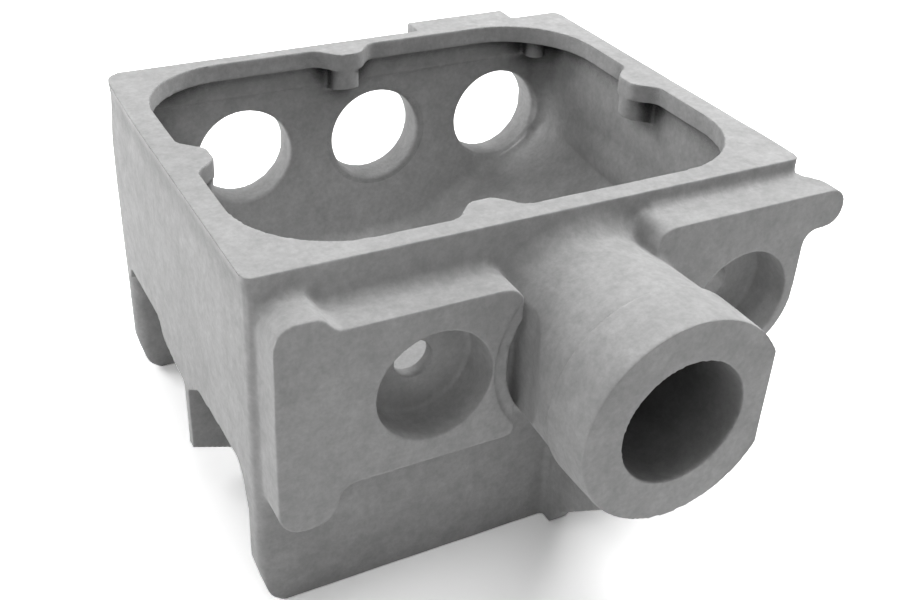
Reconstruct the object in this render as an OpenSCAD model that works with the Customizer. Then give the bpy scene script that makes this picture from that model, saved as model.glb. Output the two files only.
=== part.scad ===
// Raw cast gearbox case: one open box with a bolting rim, three shaft lines,
// bearing pads on both long walls and a bored snout on the middle line.
// x runs along the front wall, y runs from the front wall to the back, z is up.

/* [Box] */
// outside width of the box
case_w = 308; // [260:1:360]
// outside depth of the box, wall to wall
case_d = 245; // [215:1:290]
// overall height
case_h = 196; // [172:1:228]
// thickness of the two side walls
side_wall = 9; // [6:0.5:14]
// thickness of the front wall above the floor
front_wall = 10; // [7:0.5:14]
// thickness of the back wall above the floor
back_wall = 5; // [4:0.5:14]
// radius on the outer vertical edges
edge_r = 5; // [2:0.5:12]
// radius on the vertical edge at the back left
back_edge_r = 12; // [4:1:20]
// radius of the vertical corners inside
inner_r = 12; // [6:1:25]

/* [Rim] */
// thickness of the bolting rim
rim_t = 11; // [8:0.5:18]
// width of the rim on the sides
rim_side = 14.3; // [12:0.1:22]
// width of the rim on the front
rim_front = 13.4; // [11:0.1:20]
// width of the rim on the back
rim_back = 10; // [9:0.5:20]
// radius of the corners of the rim opening
opening_r = 52; // [30:1:60]
// how far a bolt lobe reaches past the rim
lobe_reach = 12.5; // [8:0.5:18]
// width of a bolt lobe at its tip
lobe_w = 14; // [10:1:24]
// place of the front bolt lobe, from the left wall
front_lobe = 128.5; // [110:0.5:150]
// place of the right bolt lobe, from the front wall
right_lobe = 125.5; // [105:0.5:140]
// place of the back bolt lobe, from the left wall
back_lobe = 146.5; // [125:0.5:170]
// place of the left bolt lobe, from the front wall
left_lobe = 123; // [105:0.5:140]
// height of the boss under a bolt lobe
boss_h = 12; // [6:1:20]
// width of the boss under a bolt lobe
boss_w = 18; // [12:1:24]
// diameter of the boss in the back right corner
corner_boss_d = 15; // [10:1:22]
// distance of its middle from the right wall
corner_boss_inset = 14; // [9:0.5:20]
// height of the thicker band of the back wall under the rim
band_h = 13; // [8:1:20]
// how far that band stands out
band_t = 1.2; // [0.5:0.1:2.5]

/* [Shaft lines] */
// height of the three shaft lines
axis_z = 130.5; // [118:0.5:143]
// distance of the first line from the left wall
axis_x = 83; // [75:0.5:95]
// spacing of the lines
axis_step = 89.5; // [80:0.5:100]
// bore diameter in the back wall
back_bore_d = 60; // [50:0.5:68]
// widening of those bores towards the inside of the case
bore_mouth = 2; // [0.5:0.5:4]
// bore diameter in the two front pads
front_bore_d = 60; // [48:0.5:64]
// depth of the two front bores
front_bore_l = 24.5; // [18:0.5:28]
// hole through the shoulder at the end of a front bore
shoulder_hole_d = 20; // [12:0.5:40]
// bore diameter of the snout
snout_bore_d = 66; // [52:0.5:74]

/* [Pads] */
// thickness of the front pads
pad_t = 23; // [16:0.5:28]
// depth below the rim face of the left pad's top
left_pad_drop = 21; // [14:0.5:30]
// bottom of the left pad
left_pad_bottom = 87; // [77:1:95]
// distance of the left pad from the outside of the left wall
left_pad_inset = 3.5; // [1:0.5:8]
// width of the lobe at the pad's lower left corner
pad_foot_w = 27.5; // [26.5:0.5:34]
// length of that lobe
pad_foot_l = 21; // [14:1:28]
// width of the lobe at the pad's upper left corner
pad_ear_w = 24; // [20:0.5:30]
// height of that lobe
pad_ear_l = 8.5; // [4:0.5:14]
// radius on the lobes of the left pad
pad_lobe_r = 13; // [8:0.5:13]
// distance of the left pad's right end from the snout's axis
left_pad_gap = 44; // [38:0.5:50]
// diameter of the step that runs round the snout on the left pad
step_d = 116; // [112:1:122]
// depth of that step
step_t = 1.5; // [0.5:0.5:4]
// depth below the rim face of the right pad's top
right_pad_drop = 9; // [6:0.5:14]
// distance of the right pad's left end from the snout's axis
right_pad_gap = 29; // [25:0.5:34]
// radius of the right pad round its bore
right_pad_r = 37; // [34:0.5:42]
// how far the right pad's ear passes the side wall
ear_reach = 14; // [6:1:22]
// radius on that ear
ear_r = 11; // [7:0.5:14]
// fillet between the top of a pad and the front wall
pad_cove_r = 5; // [2:0.5:7]
// thickness of the back pad
back_pad_t = 15.5; // [10:0.5:22]
// radius of the back pad round its outer bores
back_pad_r = 42; // [36:0.5:46]
// distance from the left wall of the tab on top of the back pad
tab_x = 203; // [180:1:220]
// width of that tab
tab_w = 71; // [50:1:80]

/* [Snout] */
// length of the snout from the front wall
snout_l = 93.5; // [80:0.5:120]
// length of the collar at the snout's end
collar_l = 31; // [20:0.5:40]
// diameter of the collar
collar_d = 109.5; // [100:0.5:118]
// distance of the collar's flat from the snout axis
collar_flat = 48.2; // [42:0.2:52]
// diameter of the barrel where it meets the collar
barrel_d = 106; // [96:0.5:110]
// diameter of the barrel at the front wall
root_d = 101; // [92:0.5:108]
// root fillet of the barrel
barrel_fillet = 13; // [6:1:15]
// fillet between the barrel and the right pad
pad_fillet_r = 3; // [1.5:0.5:5]
// distance of the relief flat on the barrel from its axis
relief_flat = 41; // [38:0.5:47]
// thickness of the rib under the snout
rib_t = 12; // [8:1:20]

/* [Floor and feet] */
// height of the floor inside
floor_z = 55; // [49:1:61]
// floor thickness
floor_t = 9; // [6:0.5:12]
// rise of the sloped floor ends, degrees
floor_slope = 31; // [24:1:36]
// radius of the bends between the floor and its sloped ends
slope_r = 25; // [10:1:32]
// height at which the sloped floor meets the left wall
left_slope_z = 90; // [86:1:98]
// height at which the sloped floor meets the right wall
right_slope_z = 114; // [104:1:118]
// fillet radius there
right_slope_r = 26; // [10:1:32]
// radius of the fillets between the floor and the long walls
cove_r = 9; // [5:0.5:14]
// thickness of the front wall below the floor
foot_t = 14; // [10:0.5:20]
// thickness of the back wall below the floor
back_foot_t = 21; // [12:0.5:28]
// radius on the arch edges of the back feet
back_foot_r = 8; // [3:0.5:9]
// distance of the web under the floor from the front wall
web_y = 110; // [95:1:125]
// thickness of that web
web_t = 8; // [6:0.5:12]
// width of the bevel at each lower end of the web
web_bevel_w = 65; // [20:1:90]
// height of that bevel
web_bevel_h = 22; // [10:1:40]
// height of the arches under the side walls
arch_h = 81; // [70:1:84]
// height of the skirt beside the web
skirt_h = 63; // [52:1:68]
// length of the skirt in front of the web
front_skirt_l = 21; // [12:1:30]
// length of the skirt behind the web
back_skirt_l = 38; // [24:1:48]
// width of the cut at the lower end of a foot
foot_cut_w = 21; // [12:1:28]
// height of that cut
foot_cut_h = 26; // [16:1:34]

/* [Swell inside the right wall] */
// distance of the middle of the swell from the front wall
swell_y = 136; // [120:1:150]
// height of its middle
swell_z = 124; // [118:1:132]
// length along the wall
swell_l = 172; // [120:2:190]
// height on the wall at its middle
swell_h = 32; // [20:1:40]
// how far it stands out from the wall
swell_t = 5; // [2:0.5:8]

/* [Hidden] */
$fn = 72;
lap = 0.6;
arc_steps = 8;
out = 5; // how far a cutter starts outside the solid
rim_z = case_h - rim_t;
inner_y0 = front_wall;
inner_y1 = case_d - back_wall;
inner_x1 = case_w - side_wall;
axes = [axis_x, axis_x + axis_step, axis_x + 2 * axis_step];
pad_face = -pad_t;
back_face = case_d + back_pad_t;
left_pad_top = case_h - left_pad_drop;
right_pad_top = case_h - right_pad_drop;
left_pad_x1 = axes[1] - left_pad_gap;
right_pad_x0 = axes[1] + right_pad_gap;
bore_end = pad_face + front_bore_l;
slope_x0 = side_wall + (left_slope_z - floor_z) / tan(floor_slope);
slope_x1 = inner_x1 - (right_slope_z - floor_z) / tan(floor_slope);
relief_depth = barrel_d / 2 - relief_flat + 1;
relief_l = snout_l - collar_l - pad_t - 2;
box_x = (case_w + ear_reach) / 2;
box_y = (back_face - snout_l) / 2;

function unit(v) = v / norm(v);
function flat(v) = [v.x, v.y];
function swapped(c) = [for (p = c) [p.y, p.x, p.z]];
function backward(c) = [for (i = [len(c) - 1 : -1 : 0]) c[i]];

// points of the arc of radius r that rounds the corner b between a and c
function corner(a, b, c, r) =
    let (u = unit(a - b))
    let (w = unit(c - b))
    let (half = acos(u * w) / 2)
    let (mid = b + unit(u + w) * r / sin(half))
    let (p = b + u * r / tan(half) - mid)
    let (q = b + w * r / tan(half) - mid)
    let (start = atan2(p.y, p.x))
    let (turn = atan2(p.x * q.y - p.y * q.x, p * q))
    [for (i = [0 : arc_steps])
        let (at = start + turn * i / arc_steps)
        mid + r * [cos(at), sin(at)]];

// outline through corners given as [x, y, radius]
function outline(c) =
    let (n = len(c))
    [for (i = [0 : n - 1])
        each corner(flat(c[(i + n - 1) % n]), flat(c[i]), flat(c[(i + 1) % n]), c[i].z)];

// corners of a lobe that stands on the edge y = e at x = s and points along p
function lobe(s, e, p) =
    let (r = 9)
    let (foot = lobe_w / 2 + lobe_reach * 0.9)
    [[s - foot, e, r],
     [s - lobe_w / 2, e + p * lobe_reach, r],
     [s + lobe_w / 2, e + p * lobe_reach, r],
     [s + foot, e, r]];

// a flat shape in x and z carried backwards from the plane y = y1 to y = y0
module along_y(y0, y1) {
    translate([0, y1, 0])
        rotate([90, 0, 0])
            linear_extrude(y1 - y0)
                children();
}

// a flat shape in y and z carried from x = x0 to x = x1
module along_x(x0, x1) {
    translate([x0, 0, 0])
        rotate([90, 0, 90])
            linear_extrude(x1 - x0)
                children();
}

// a round bar on a line parallel to y, with a second diameter at y1 where it tapers
module bar(x, z, d, y0, y1, d1 = 0) {
    translate([x, y1, z])
        rotate([90, 0, 0])
            cylinder(h = y1 - y0, d1 = d1 > 0 ? d1 : d, d2 = d);
}

// ring of concave section that fills the corner between a bar of radius r and a wall
module fillet_ring(r, fillet) {
    rotate_extrude()
        difference() {
            square([r + fillet, fillet]);
            translate([r + fillet, fillet])
                circle(r = fillet);
        }
}

// hollow corner of radius r carried from x = 0 to x = l, its walls along y = 0 and z = 0
module cove(r, l) {
    along_x(0, l)
        difference() {
            translate([-r, -lap])
                square([r + lap, r + lap]);
            translate([-r, r])
                circle(r = r);
        }
}

module plan(x0, x1, y0, y1, r, back_left_r) {
    polygon(outline([[x0, y0, r], [x1, y0, r], [x1, y1, r], [x0, y1, back_left_r]]));
}

// opening of the rim, with the four bolt lobes left standing
module rim_opening() {
    x1 = case_w - rim_side;
    y1 = case_d - rim_back;
    polygon(outline(concat(
        [[rim_side, rim_front, opening_r]],
        lobe(front_lobe, rim_front, 1),
        [[x1, rim_front, opening_r]],
        swapped(lobe(right_lobe, x1, -1)),
        [[x1, y1, opening_r]],
        backward(lobe(back_lobe, y1, -1)),
        [[rim_side, y1, opening_r]],
        backward(swapped(lobe(left_lobe, rim_side, 1))))));
}

// boss under a bolt lobe: its tip stands at the origin and points along +x,
// and its underside falls a little towards the wall behind it
module boss(reach) {
    fall = 15;
    r = boss_w / 2;
    back = -reach - lap;
    low = boss_h + reach * tan(fall);
    intersection() {
        translate([0, 0, -low])
            linear_extrude(low + lap)
                polygon(outline([[0, -r, r - 0.1], [0, r, r - 0.1], [back, r, 0.2], [back, -r, 0.2]]));
        along_y(-boss_w, boss_w)
            polygon([[lap, lap], [back - lap, lap], [back - lap, -low], [-reach, -low], [lap, -boss_h]]);
    }
}

module bosses() {
    tip_side = rim_side + lobe_reach;
    tip_front = rim_front + lobe_reach;
    tip_back = rim_back + lobe_reach;
    translate([front_lobe, tip_front, rim_z])
        rotate([0, 0, 90])
            boss(tip_front - front_wall);
    translate([case_w - tip_side, right_lobe, rim_z])
        rotate([0, 0, 180])
            boss(tip_side - side_wall);
    translate([back_lobe, case_d - tip_back, rim_z])
        rotate([0, 0, -90])
            boss(tip_back - back_wall);
    translate([tip_side, left_lobe, rim_z])
        boss(tip_side - side_wall);
    // round boss in the back right corner
    translate([inner_x1 - corner_boss_inset, inner_y1 - corner_boss_d / 2, rim_z - boss_h])
        cylinder(h = boss_h + lap, d = corner_boss_d);
}

// thicker band of the back wall under the rim
module rim_band() {
    translate([inner_r, inner_y1 - band_t, rim_z - band_h])
        cube([case_w - 2 * inner_r, band_t + lap, band_h + lap]);
}

// inside of the box seen from the front: a flat floor with a sloped end at each side
module inside_profile() {
    above = case_h + 40;
    polygon(outline([
        [side_wall, above, 1],
        [side_wall, left_slope_z, 6],
        [slope_x0, floor_z, slope_r],
        [slope_x1, floor_z, slope_r],
        [inner_x1, right_slope_z, right_slope_r],
        [inner_x1, above, 1]]));
}

module cavity() {
    intersection() {
        along_y(inner_y0, inner_y1)
            inside_profile();
        linear_extrude(rim_z)
            plan(side_wall, inner_x1, inner_y0, inner_y1, inner_r, inner_r);
    }
}

// space under the floor, seen from the front; the slopes are as thick as the floor
module under_profile() {
    top = floor_z - floor_t;
    drop = floor_t / cos(floor_slope);
    left_z = left_slope_z - drop;
    right_z = right_slope_z - drop;
    polygon(outline([
        [-out, -out, 1],
        [case_w + out, -out, 1],
        [case_w + out, right_z, 1],
        [inner_x1, right_z, 8],
        [inner_x1 - (right_z - top) / tan(floor_slope), top, slope_r],
        [side_wall + (left_z - top) / tan(floor_slope), top, slope_r],
        [side_wall, left_z, 4],
        [-out, left_z, 1]]));
}

// the two bays between the cross walls, seen from the side
module bay_profiles() {
    web_back = web_y + web_t;
    foot_y = case_d - back_foot_t;
    polygon(outline([
        [foot_t, -out, 1],
        [web_y, -out, 1],
        [web_y, skirt_h, 4],
        [web_y - front_skirt_l, arch_h - 4, 16],
        [foot_t + 8, arch_h, 14],
        [foot_t, arch_h - 25, 14]]));
    polygon(outline([
        [web_back, -out, 1],
        [foot_y, -out, 1],
        [foot_y, arch_h, 10],
        [web_back + back_skirt_l + 8, arch_h, 12],
        [web_back + back_skirt_l, skirt_h + 6, 12],
        [web_back, skirt_h, 4]]));
}

module bays() {
    intersection() {
        along_y(-out, case_d + out)
            under_profile();
        along_x(-out, case_w + out)
            bay_profiles();
    }
}

// a cut off each lower end of a cross wall; the points give the left one
module end_cuts(y0, y1, points) {
    along_y(y0, y1)
        for (side = [0, 1])
            translate([side * case_w, 0])
                mirror([side, 0])
                    polygon(points);
}

module feet_cuts() {
    foot = outline([
        [-out, -out, 1],
        [foot_cut_w, -out, 1],
        [5, 4.5, 14],
        [0, foot_cut_h, 1],
        [-out, foot_cut_h, 1]]);
    web_slope = web_bevel_w / web_bevel_h;
    web = [[-1, -1], [web_bevel_w + web_slope, -1], [0, web_bevel_h], [-1, web_bevel_h]];
    end_cuts(-1, foot_t + 1, foot);
    end_cuts(web_y - 1, web_y + web_t + 1, web);
    end_cuts(case_d - back_foot_t - 1, case_d + 1, foot);
    // rounded edges of the arches on the back feet
    for (side = [0, 1])
        translate([side * case_w, case_d - back_foot_t, -1])
            mirror([side, 0, 0])
                linear_extrude(arch_h - 9)
                    difference() {
                        translate([-1, -1])
                            square(back_foot_r + 1);
                        translate([back_foot_r, back_foot_r])
                            circle(r = back_foot_r);
                    }
}

module box() {
    difference() {
        linear_extrude(case_h)
            plan(0, case_w, 0, case_d, edge_r, back_edge_r);
        cavity();
        bays();
        feet_cuts();
    }
}

module left_pad() {
    x0 = left_pad_inset;
    difference() {
        along_y(pad_face, lap)
            polygon(outline([
                [x0, left_pad_bottom - pad_foot_l, pad_lobe_r],
                [x0 + pad_foot_w, left_pad_bottom - pad_foot_l, pad_lobe_r],
                [x0 + pad_foot_w + 5, left_pad_bottom, 9],
                [left_pad_x1, left_pad_bottom, 4],
                [left_pad_x1, left_pad_top, 12],
                [x0 + pad_ear_w + 6, left_pad_top, 9],
                [x0 + pad_ear_w, left_pad_top + pad_ear_l, 9],
                [x0, left_pad_top + pad_ear_l, pad_lobe_r]]));
        bar(axes[1], axis_z, step_d, pad_face - lap, pad_face + step_t);
        bar(axes[1], axis_z, root_d, pad_face - lap, -barrel_fillet);
    }
}

// fillet where the right pad's face meets the barrel
module pad_fillet() {
    r = (barrel_d + root_d) / 4 - 0.3;
    x1 = axes[1] + r + 2 * pad_fillet_r;
    intersection() {
        translate([axes[1], pad_face, axis_z])
            rotate([90, 0, 0])
                fillet_ring(r, pad_fillet_r);
        along_y(pad_face - pad_fillet_r - lap, pad_face)
            polygon([
                [right_pad_x0, axis_z],
                [x1, axis_z],
                [x1, right_pad_top],
                [right_pad_x0, right_pad_top]]);
    }
}

module right_pad() {
    ear_bottom = right_pad_top - 2 * ear_r;
    ear_x = case_w + ear_reach;
    difference() {
        union() {
            along_y(pad_face, lap)
                polygon(outline([
                    [right_pad_x0, right_pad_top, 9],
                    [right_pad_x0, axis_z, 1],
                    [axes[2] + right_pad_r, axis_z, 1],
                    [axes[2] + right_pad_r, ear_bottom, 8],
                    [ear_x, ear_bottom, ear_r - 0.1],
                    [ear_x, right_pad_top, ear_r - 0.1]]));
            bar(axes[2], axis_z, 2 * right_pad_r, pad_face, lap);
            pad_fillet();
        }
        // the back of the ear falls away from the side wall
        linear_extrude(case_h)
            polygon([
                [case_w, -2],
                [ear_x + lap, pad_face + 7],
                [ear_x + out, lap + 1],
                [case_w, lap + 1]]);
    }
}

// fillets between the tops of the pads and the front wall
module pad_coves() {
    ear_x = left_pad_inset + pad_ear_w + 6;
    right_x = right_pad_x0 + 9;
    translate([ear_x, 0, left_pad_top])
        cove(pad_cove_r, left_pad_x1 - ear_x - 10);
    translate([left_pad_inset + pad_lobe_r, 0, left_pad_top + pad_ear_l])
        cove(pad_cove_r, pad_ear_w - pad_lobe_r);
    translate([right_x, 0, right_pad_top])
        cove(pad_cove_r - 0.5, case_w - right_x - edge_r);
}

module back_pad() {
    x0 = axes[0] - back_pad_r;
    x1 = axes[2] + back_pad_r;
    along_y(case_d - lap, back_face)
        polygon(outline([
            [x0, left_pad_bottom, 14],
            [x1, left_pad_bottom, 14],
            [x1, left_pad_top, 14],
            [tab_x + tab_w, left_pad_top, 8],
            [tab_x + tab_w, case_h, 1],
            [tab_x, case_h, 1],
            [tab_x, left_pad_top, 8],
            [x0, left_pad_top, 14]]));
}

// barrel with its root fillet, relieved on the left beside the pad
module barrel() {
    side_l = 30;
    difference() {
        translate([axes[1], 0, axis_z])
            rotate([90, 0, 0]) {
                translate([0, 0, -lap])
                    cylinder(h = 2 * lap + snout_l - collar_l, d1 = root_d, d2 = barrel_d);
                fillet_ring(root_d / 2, barrel_fillet);
            }
        translate([axes[1] - relief_flat, 0, left_pad_bottom - 12])
            linear_extrude(left_pad_top + 12 - left_pad_bottom)
                polygon(concat(
                    [[-side_l, 4 - barrel_fillet], [0, 4 - barrel_fillet]],
                    [for (i = [0 : arc_steps])
                        let (part = i / arc_steps)
                        [-relief_depth * (1 - cos(180 * part)) / 2, pad_face - relief_l * part]],
                    [[-side_l, pad_face - relief_l]]));
    }
}

// barrel, collar and the flat of the collar
module snout() {
    barrel();
    difference() {
        bar(axes[1], axis_z, collar_d, -snout_l, collar_l - snout_l);
        translate([axes[1] + collar_flat, -snout_l - lap, 0])
            cube([collar_d / 2, collar_l + 2 * lap, case_h]);
    }
}

// sloped rib that carries the snout
module rib() {
    along_x(axes[1] - rib_t / 2, axes[1] + rib_t / 2)
        polygon([
            [lap, 0],
            [lap, axis_z - 40],
            [12 - snout_l, axis_z - 40],
            [10 - snout_l, axis_z - collar_d / 2 - 2],
            [-15, 12],
            [-8, 0]]);
}

// long low swell inside the right wall: the part of a round spindle that passes the wall
module side_swell() {
    r = (swell_h * swell_h / 4 + swell_t * swell_t) / (2 * swell_t);
    half = swell_l / 2;
    bend = (half * half + swell_t * swell_t) / (2 * swell_t);
    intersection() {
        translate([inner_x1 + r - swell_t, swell_y, swell_z])
            rotate([90, 0, 0])
                rotate_extrude()
                    intersection() {
                        translate([r - bend, 0])
                            circle(r = bend, $fn = 360);
                        translate([0, -half])
                            square([r, swell_l]);
                    }
        translate([inner_x1 - 2 * swell_t, swell_y - half, swell_z - swell_h])
            cube([2 * swell_t + side_wall / 2, swell_l, 2 * swell_h]);
    }
}

// cast fillets between the inner floor, its slopes and the two long walls
module inner_fillets() {
    for (wall = [[inner_y1, 0], [inner_y0, 1]])
        translate([0, wall.x, floor_z])
            mirror([0, wall.y, 0]) {
                translate([slope_x0, 0, 0])
                    cove(cove_r, slope_x1 - slope_x0);
                translate([slope_x1, 0, 0])
                    rotate([0, -floor_slope, 0])
                        cove(cove_r, (inner_x1 - slope_x1) / cos(floor_slope));
                translate([slope_x0, 0, 0])
                    mirror([1, 0, 0])
                        rotate([0, -floor_slope, 0])
                            cove(cove_r, (slope_x0 - side_wall) / cos(floor_slope));
            }
}

module bores() {
    for (x = [axes[0], axes[2]])
        bar(x, axis_z, front_bore_d, pad_face - lap, bore_end);
    bar(axes[1], axis_z, snout_bore_d, -snout_l - lap, bore_end);
    for (x = axes) {
        bar(x, axis_z, shoulder_hole_d, pad_face, front_wall + lap);
        bar(x, axis_z, back_bore_d, inner_y1, back_face + lap);
        bar(x, axis_z, back_bore_d + 2 * bore_mouth, inner_y1 - 2, inner_y1);
        bar(x, axis_z, back_bore_d + 2 * bore_mouth, inner_y1 - lap, inner_y1 + bore_mouth, back_bore_d);
    }
}

module gearbox_case() {
    color([0.62, 0.62, 0.62])
        translate([-box_x, -box_y, 0])
            difference() {
                union() {
                    box();
                    bosses();
                    rim_band();
                    inner_fillets();
                    side_swell();
                    left_pad();
                    right_pad();
                    pad_coves();
                    back_pad();
                    snout();
                    rib();
                }
                translate([0, 0, rim_z - lap])
                    linear_extrude(rim_t + 2 * lap)
                        rim_opening();
                bores();
            }
}

gearbox_case();
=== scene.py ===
"""Looks of the raw cast gearbox case: soft cast edges, sand skin, studio light and camera."""

import math

import bpy
from mathutils import Matrix, Vector, noise


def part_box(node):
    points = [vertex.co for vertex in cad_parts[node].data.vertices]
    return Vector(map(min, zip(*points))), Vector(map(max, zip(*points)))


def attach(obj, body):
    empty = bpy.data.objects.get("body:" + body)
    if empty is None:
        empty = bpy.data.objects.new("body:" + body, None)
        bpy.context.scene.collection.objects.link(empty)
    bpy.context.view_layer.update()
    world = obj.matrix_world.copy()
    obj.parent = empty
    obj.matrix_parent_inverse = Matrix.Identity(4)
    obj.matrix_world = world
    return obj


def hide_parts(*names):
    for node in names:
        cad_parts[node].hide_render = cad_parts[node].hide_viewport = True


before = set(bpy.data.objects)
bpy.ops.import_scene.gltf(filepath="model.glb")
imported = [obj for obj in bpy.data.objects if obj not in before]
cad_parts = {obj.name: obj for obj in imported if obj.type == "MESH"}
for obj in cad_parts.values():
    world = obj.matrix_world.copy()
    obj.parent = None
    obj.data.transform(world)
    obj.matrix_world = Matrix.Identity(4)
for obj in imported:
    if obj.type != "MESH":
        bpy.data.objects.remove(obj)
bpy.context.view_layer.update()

MM = 0.001
WHITE = (1.0, 1.0, 1.0, 1.0)

# the solid's box: the snout reaches its low Y side, and the left wall lies on its low X side
NODE = "gearbox_case"
LOW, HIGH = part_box(NODE)
LEFT = LOW[0]
TOP = HIGH[2]

# snout, its shaft line and its collar
SNOUT_LENGTH = 93.5 * MM
SNOUT_X = 11.5 * MM
SNOUT_Z = 130.5 * MM
COLLAR_LENGTH = 31 * MM
WALL_FACE = LOW[1] + SNOUT_LENGTH
COLLAR_END = LOW[1] + COLLAR_LENGTH

# cast skin
VOXEL = 1.0 * MM
SMOOTH_FACTOR = 0.5
SMOOTH_PASSES = 4
TRIANGLE_LIMIT = 190000

# unevenness left by the mould: size of a wave across the wall, and how deep it is
WAVE = 26 * MM
WAVE_DEPTH = 0.35 * MM
STREAK = 14 * MM
STREAK_HEIGHT = 90 * MM
STREAK_DEPTH = 0.40 * MM
STREAK_LEAN = 1.5

# shallow hollow along the top of the left wall, on skin that faces left
HOLLOW_DEPTH = 0.8 * MM
HOLLOW_DROP = 10 * MM
HOLLOW_END = 75 * MM
HOLLOW_SKIN = 6 * MM
FACING_FROM = 0.5
FACING_SPAN = 0.4

# the left wall draws in towards its far top corner
DRAW_IN = 2.4 * MM
DRAW_START = 150 * MM
DRAW_LENGTH = 95 * MM
DRAW_HEIGHT = 42 * MM
DRAW_SKIN = 13 * MM
DRAW_FADE = 8 * MM

# fine groove behind the collar
GROOVE_DEPTH = 0.8 * MM
GROOVE_LENGTH = 3.0 * MM

# skin of sand-cast iron
SKIN_GREY = 0.46
SKIN_SPECULAR = 0.3
SKIN_ROUGHNESS = (0.62, 0.8)

# patterns of the sand: how often they turn in a metre, detail and roughness
PORES = (900.0, 2.0, 0.6)
SAND = (330.0, 2.0, 0.6)
LUMPS = (105.0, 2.0, 0.5)
MOTTLE = (28.0, 4.0, 0.55)
CLOUD = (7.0, 2.0, 0.5)
PORE_SPAN = (0.25, 0.75)
PATTERN_SPAN = (0.3, 0.7)

# how much each pattern changes the grey, and how deep it is
PORE_SHADE = 0.05
SAND_SHADE = 0.08
LUMP_SHADE = 0.08
MOTTLE_SHADE = 0.05
CLOUD_SHADE = 0.04
SAND_DEPTH = 0.12 * MM
LUMP_DEPTH = 0.45 * MM

# painted shade in hemmed-in places: reach, how open a place is where the shade is full and
# where it ends, and the full shade as a share of the grey
LIP_PAINTED_SHADE = (14 * MM, 0.78, 0.95, 0.05)
CORNER_PAINTED_SHADE = (50 * MM, 0.5, 0.9, 0.55)
BORE_PAINTED_SHADE = (150 * MM, 0.15, 0.65, 0.14)
CLOSED_SAMPLES = 3
BORE_RADIUS = 35 * MM

# the painted shade under the lip and in the corners lies between the front wall and the back wall and
# starts between these heights
INSIDE_MIDDLE = 40 * MM
INSIDE_HALF = 119 * MM
PAINTED_SHADE_HEIGHTS = (125 * MM, 160 * MM)
FADE = 2 * MM

# painted shade in a band under the top edge of the left wall: where it starts, is full and ends
SHADE_BAND_DROPS = (2 * MM, 6 * MM, 22 * MM)
SHADE_BAND_GREY = 0.8

# floor: its grey as a reflector and as it is seen, and its glow near and far
FLOOR_SIZE = 8.0
FLOOR_GREY = 0.9
FLOOR_SEEN = 2.2
FLOOR_GLOW = (0.05, 1.0)
FLOOR_REACH = (0.6, 1.3)

# square studio lights: place in metres, and power in watts
LIGHTS = {
    "back_left": ((-1.1, 1.2, 0.9), 14.5),
    "low_left": ((-1.7, 0.2, 0.25), 5.5),
    "top": ((0.0, 0.0, 1.8), 6),
    "top_right": ((1.0, 0.2, 1.5), 26),
    "front_high": ((-0.2, -1.2, 1.4), 3.5),
    "front_left": ((-1.3, -1.1, 0.3), 2),
}
LIGHT_SIZE = 1.0
LIGHT_TARGET = Vector((0.0, 0.0, 0.1))

# camera, as fitted to the photograph's 900 x 600 frame
PHOTO_SIZE = (900, 600)
CAMERA_PLACE = Vector((-289.6, -493.6, 459.9)) * MM
CAMERA_AZIMUTH = 29.07
CAMERA_ELEVATION = 32.97
CAMERA_ROLL = 2.889
CAMERA_CLIP = (0.01, 50.0)
FOCAL_PX = 1183.9
CENTRE_PX = (447.7, 309.6)
SENSOR = 36.0


def new_object(name, data):
    obj = bpy.data.objects.new(name, data)
    bpy.context.scene.collection.objects.link(obj)
    return obj


def apply_modifiers(obj):
    """Turns the evaluated mesh into the object's own."""
    graph = bpy.context.evaluated_depsgraph_get()
    made = bpy.data.meshes.new_from_object(obj.evaluated_get(graph))
    obj.modifiers.clear()
    obj.data = made


def ease(value):
    """Soft step from 0 to 1."""
    value = min(1.0, max(0.0, value))
    return value * value * (3 - 2 * value)


def lifted(place):
    """Noise raised from between -1 and 1 to between 0 and 1."""
    return 0.5 + 0.5 * noise.noise(place)


def hollow(place, normal):
    """Depth of the hollow under the top edge of the left wall."""
    if place.x > LEFT + HOLLOW_SKIN:
        return 0.0
    drop = TOP - place.z
    facing = ease((-normal.x - FACING_FROM) / FACING_SPAN)
    fading = ease((HOLLOW_END - drop) / (HOLLOW_END - HOLLOW_DROP))
    return HOLLOW_DEPTH * facing * ease(drop / HOLLOW_DROP) * fading


def groove(place, normal):
    """Depth of the fine groove that sets the collar off from the barrel."""
    behind = place.y - COLLAR_END
    outward = (place.x - SNOUT_X) * normal.x + (place.z - SNOUT_Z) * normal.z
    if outward < 0 or not 0 <= behind < GROOVE_LENGTH:
        return 0.0
    return GROOVE_DEPTH * (1 - behind / GROOVE_LENGTH)


def draw_in(place):
    """How far the left wall moves in towards its far top corner."""
    along = max(0.0, place.y - WALL_FACE - DRAW_START) / DRAW_LENGTH
    near = ease((LEFT + DRAW_SKIN - place.x) / DRAW_FADE)
    return DRAW_IN * min(1.0, along) ** 2 * near * ease(1 - (TOP - place.z) / DRAW_HEIGHT)


def uneven(skin):
    """Presses the skin in by small amounts, never out of the solid's box."""
    moves = []
    for vertex in skin.data.vertices:
        p, n = vertex.co, vertex.normal
        upright = max(0.0, 1.0 - STREAK_LEAN * abs(n.z))
        streak = lifted(Vector((p.x / STREAK, p.y / STREAK, p.z / STREAK_HEIGHT)))
        depth = WAVE_DEPTH * lifted(p / WAVE) + STREAK_DEPTH * upright * streak
        depth += hollow(p, n) + groove(p, n)
        moves.append(Vector((draw_in(p), 0, 0)) - n * depth)
    for vertex, move in zip(skin.data.vertices, moves):
        vertex.co += move


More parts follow.
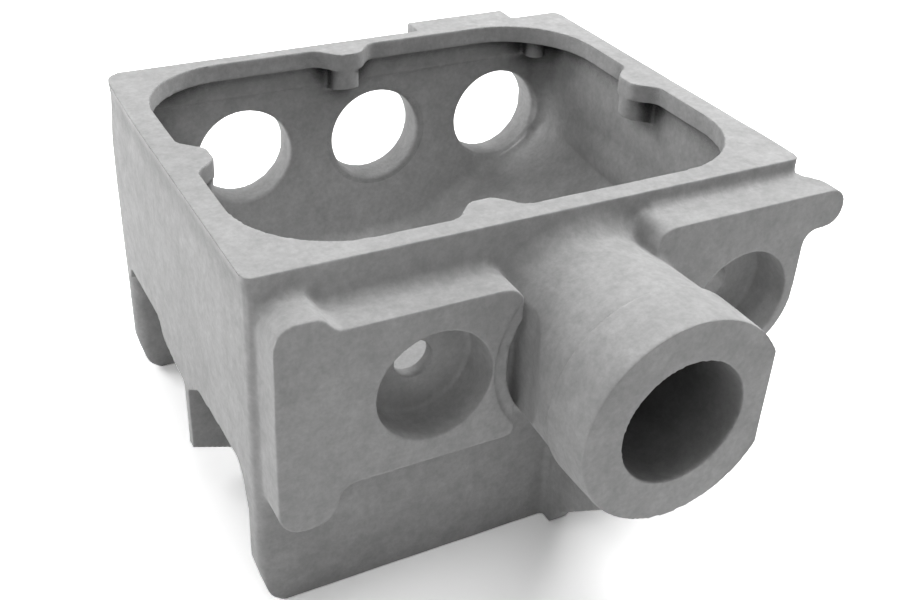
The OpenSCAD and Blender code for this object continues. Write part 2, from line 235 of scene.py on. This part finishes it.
def cast_skin(node):
    """An uneven copy of the solid, with edges and inner corners softened as a casting's are."""
    skin = new_object("cast_case", node.data.copy())
    remesh = skin.modifiers.new("remesh", "REMESH")
    remesh.mode = "VOXEL"
    remesh.voxel_size = VOXEL
    smooth = skin.modifiers.new("smooth", "SMOOTH")
    smooth.factor = SMOOTH_FACTOR
    smooth.iterations = SMOOTH_PASSES
    apply_modifiers(skin)
    uneven(skin)
    triangles = sum(len(face.vertices) - 2 for face in skin.data.polygons)
    thin = skin.modifiers.new("thin", "DECIMATE")
    thin.ratio = min(1.0, TRIANGLE_LIMIT / triangles)
    apply_modifiers(skin)
    for face in skin.data.polygons:
        face.use_smooth = True
    return skin


class Graph:
    """Short calls for building the nodes of a material or a world."""

    def __init__(self, owner):
        owner.use_nodes = True
        self.tree = owner.node_tree
        self.tree.nodes.clear()

    def add(self, kind, **settings):
        node = self.tree.nodes.new(kind)
        for key, value in settings.items():
            setattr(node, key, value)
        return node

    def link(self, a, b):
        self.tree.links.new(a, b)

    def pattern(self, where, scale, detail, roughness):
        node = self.add("ShaderNodeTexNoise")
        node.inputs["Scale"].default_value = scale
        node.inputs["Detail"].default_value = detail
        node.inputs["Roughness"].default_value = roughness
        self.link(where, node.inputs["Vector"])
        return node.outputs["Fac"]

    def spread(self, value, lo, hi, out_lo=0.0, out_hi=1.0):
        """The value's range from lo to hi laid over the range from out_lo to out_hi."""
        node = self.add("ShaderNodeMapRange")
        for name, number in zip(("From Min", "From Max", "To Min", "To Max"), (lo, hi, out_lo, out_hi)):
            node.inputs[name].default_value = number
        self.link(value, node.inputs["Value"])
        return node.outputs["Result"]

    def combine(self, operation, *values):
        node = self.add("ShaderNodeMath", operation=operation)
        for socket, value in zip(node.inputs, values):
            if isinstance(value, (int, float)):
                socket.default_value = value
            else:
                self.link(value, socket)
        return node.outputs["Value"]

    def closed(self, reach, shut, opened, shade):
        """Grey factor of painted shade in places that are hemmed in, within reach, by the casting
        itself.
        """
        node = self.add("ShaderNodeAmbientOcclusion", samples=CLOSED_SAMPLES)
        node.inputs["Distance"].default_value = reach
        return self.spread(node.outputs["AO"], shut, opened, shade, 1.0)

    def shown(self):
        """1 where the camera, a reflection or a clear body looks straight at the surface, else 0."""
        path = self.add("ShaderNodeLightPath")
        seen = path.outputs["Is Camera Ray"]
        for ray in ("Is Glossy Ray", "Is Transmission Ray"):
            seen = self.combine("MAXIMUM", seen, path.outputs[ray])
        return seen


def inside_painted_shade(g, y, z):
    """Grey factors of the painted shade under the rim's lip and in the upper corners inside the case.
    """
    along = g.combine("ABSOLUTE", g.combine("SUBTRACT", y, INSIDE_MIDDLE))
    outside = g.spread(along, INSIDE_HALF, INSIDE_HALF + FADE)
    unshaded = g.combine("MAXIMUM", outside, g.spread(z, *PAINTED_SHADE_HEIGHTS, 1.0, 0.0))
    # painted shade: darker just under the rim's lip and in the upper inside corners
    return [g.combine("MAXIMUM", unshaded, g.closed(*place)) for place in (LIP_PAINTED_SHADE, CORNER_PAINTED_SHADE)]


def bore_painted_shade(g, x, z):
    """Grey factor of the painted shade deep in the snout's long bore."""
    across = g.combine("SUBTRACT", x, SNOUT_X)
    rise = g.combine("SUBTRACT", z, SNOUT_Z)
    square = g.combine("ADD", g.combine("MULTIPLY", across, across), g.combine("MULTIPLY", rise, rise))
    beyond = g.combine("GREATER_THAN", square, BORE_RADIUS * BORE_RADIUS)
    # painted shade: the deeper and more hemmed in the skin of the bore, the darker
    return g.combine("MAXIMUM", beyond, g.closed(*BORE_PAINTED_SHADE))


def edge_painted_shade(g, x, z):
    """Grey factor of the painted shade that runs along under the left wall's top edge."""
    start, full, end = (TOP - drop for drop in SHADE_BAND_DROPS)
    over = g.spread(z, full, start)
    under = g.spread(z, end, full, 1.0, 0.0)
    aside = g.spread(x, LEFT + FADE, LEFT + 2 * FADE)
    clear = g.combine("MAXIMUM", aside, g.combine("MAXIMUM", over, under))
    return g.spread(clear, 0.0, 1.0, SHADE_BAND_GREY, 1.0)


def grain(g, patterns):
    """Grey factor of the sand's patterns together, given as span, amount and pattern."""
    shade = 1.0
    for pattern, span, amount in patterns:
        shade = g.combine("MULTIPLY", shade, g.spread(pattern, *span, 1 - amount, 1 + amount))
    return shade


def relief(g, patterns):
    """Normal of the skin with the patterns pressed into it, each to its depth."""
    normal = None
    for pattern, depth in patterns:
        bump = g.add("ShaderNodeBump")
        bump.inputs["Strength"].default_value = 1.0
        bump.inputs["Distance"].default_value = depth
        g.link(pattern, bump.inputs["Height"])
        if normal:
            g.link(normal, bump.inputs["Normal"])
        normal = bump.outputs["Normal"]
    return normal


def casting_material():
    """Matte grey sand-cast skin: rough grain, soft mottling, and painted shade in hemmed-in places and
    under the left wall's top edge.
    """
    material = bpy.data.materials.new("raw_casting")
    g = Graph(material)
    place = g.add("ShaderNodeTexCoord").outputs["Object"]
    axis = g.add("ShaderNodeSeparateXYZ")
    g.link(place, axis.inputs["Vector"])
    x, y, z = (axis.outputs[name] for name in ("X", "Y", "Z"))
    pores, sand, lumps, mottle, cloud = (
        g.pattern(place, *pattern) for pattern in (PORES, SAND, LUMPS, MOTTLE, CLOUD)
    )
    grey = grain(g, (
        (pores, PORE_SPAN, PORE_SHADE),
        (sand, PATTERN_SPAN, SAND_SHADE),
        (lumps, PATTERN_SPAN, LUMP_SHADE),
        (mottle, PATTERN_SPAN, MOTTLE_SHADE),
        (cloud, PATTERN_SPAN, CLOUD_SHADE),
    ))
    # painted shade: under the lip, in the upper inside corners, deep in the snout's bore and under the
    # left wall's top edge
    for factor in (*inside_painted_shade(g, y, z), bore_painted_shade(g, x, z), edge_painted_shade(g, x, z), SKIN_GREY):
        grey = g.combine("MULTIPLY", grey, factor)
    colour = g.add("ShaderNodeCombineColor")
    for channel in ("Red", "Green", "Blue"):
        g.link(grey, colour.inputs[channel])
    shader = g.add("ShaderNodeBsdfPrincipled")
    shader.inputs["Metallic"].default_value = 0.0
    shader.inputs["Specular IOR Level"].default_value = SKIN_SPECULAR
    g.link(colour.outputs["Color"], shader.inputs["Base Color"])
    g.link(g.spread(pores, *PATTERN_SPAN, *SKIN_ROUGHNESS), shader.inputs["Roughness"])
    g.link(relief(g, ((sand, SAND_DEPTH), (lumps, LUMP_DEPTH))), shader.inputs["Normal"])
    output = g.add("ShaderNodeOutputMaterial")
    g.link(shader.outputs["BSDF"], output.inputs["Surface"])
    return material


def floor_material():
    """Pale floor that reads as white to the camera and keeps the shadow."""
    material = bpy.data.materials.new("floor_white")
    g = Graph(material)
    seen = g.shown()
    diffuse = g.add("ShaderNodeBsdfDiffuse")
    g.link(g.spread(seen, 0.0, 1.0, FLOOR_GREY, FLOOR_SEEN), diffuse.inputs["Color"])
    middle = g.add("ShaderNodeVectorMath", operation="LENGTH")
    g.link(g.add("ShaderNodeTexCoord").outputs["Object"], middle.inputs[0])
    glow = g.add("ShaderNodeEmission")
    glow.inputs["Color"].default_value = WHITE
    strength = g.spread(middle.outputs["Value"], *FLOOR_REACH, *FLOOR_GLOW)
    g.link(g.combine("MULTIPLY", seen, strength), glow.inputs["Strength"])
    both = g.add("ShaderNodeAddShader")
    g.link(diffuse.outputs["BSDF"], both.inputs[0])
    g.link(glow.outputs["Emission"], both.inputs[1])
    output = g.add("ShaderNodeOutputMaterial")
    g.link(both.outputs["Shader"], output.inputs["Surface"])
    return material


def floor():
    half = FLOOR_SIZE / 2
    corners = [(-half, -half, 0), (half, -half, 0), (half, half, 0), (-half, half, 0)]
    mesh = bpy.data.meshes.new("floor")
    mesh.from_pydata(corners, [], [(0, 1, 2, 3)])
    obj = new_object("floor", mesh)
    obj.data.materials.append(floor_material())


def surroundings():
    """White to the camera and in reflections, and dark to all else."""
    world = bpy.data.worlds.new("studio")
    bpy.context.scene.world = world
    g = Graph(world)
    background = g.add("ShaderNodeBackground")
    background.inputs["Color"].default_value = WHITE
    g.link(g.shown(), background.inputs["Strength"])
    output = g.add("ShaderNodeOutputWorld")
    g.link(background.outputs["Background"], output.inputs["Surface"])


def softbox(name, place, power):
    lamp = bpy.data.lights.new(name, "AREA")
    lamp.shape = "RECTANGLE"
    lamp.size = lamp.size_y = LIGHT_SIZE
    lamp.energy = power
    obj = new_object(name, lamp)
    obj.location = place
    obj.rotation_euler = (LIGHT_TARGET - Vector(place)).to_track_quat("-Z", "Y").to_euler()


def camera():
    """Stands where the photograph was taken from, with the same lens and a slight roll."""
    width, height = PHOTO_SIZE
    data = bpy.data.cameras.new("camera")
    data.sensor_width = SENSOR
    data.lens = SENSOR * FOCAL_PX / width
    data.shift_x = (width / 2 - CENTRE_PX[0]) / width
    data.shift_y = (CENTRE_PX[1] - height / 2) / width
    data.clip_start, data.clip_end = CAMERA_CLIP
    a, e = math.radians(CAMERA_AZIMUTH), math.radians(CAMERA_ELEVATION)
    look = Vector((math.sin(a) * math.cos(e), math.cos(a) * math.cos(e), -math.sin(e)))
    right = look.cross(Vector((0, 0, 1))).normalized()
    right.rotate(Matrix.Rotation(math.radians(-CAMERA_ROLL), 3, look))
    up = right.cross(look)
    axes = Matrix((right, up, -look)).transposed()
    obj = new_object("camera", data)
    obj.matrix_world = Matrix.Translation(CAMERA_PLACE) @ axes.to_4x4()
    bpy.context.scene.camera = obj


skin = cast_skin(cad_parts[NODE])
skin.data.materials.clear()
skin.data.materials.append(casting_material())
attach(skin, "root")
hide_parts(NODE)

floor()
surroundings()
for name, (place, power) in LIGHTS.items():
    softbox(name, place, power)
camera()
bpy.context.scene.view_settings.view_transform = "Standard"
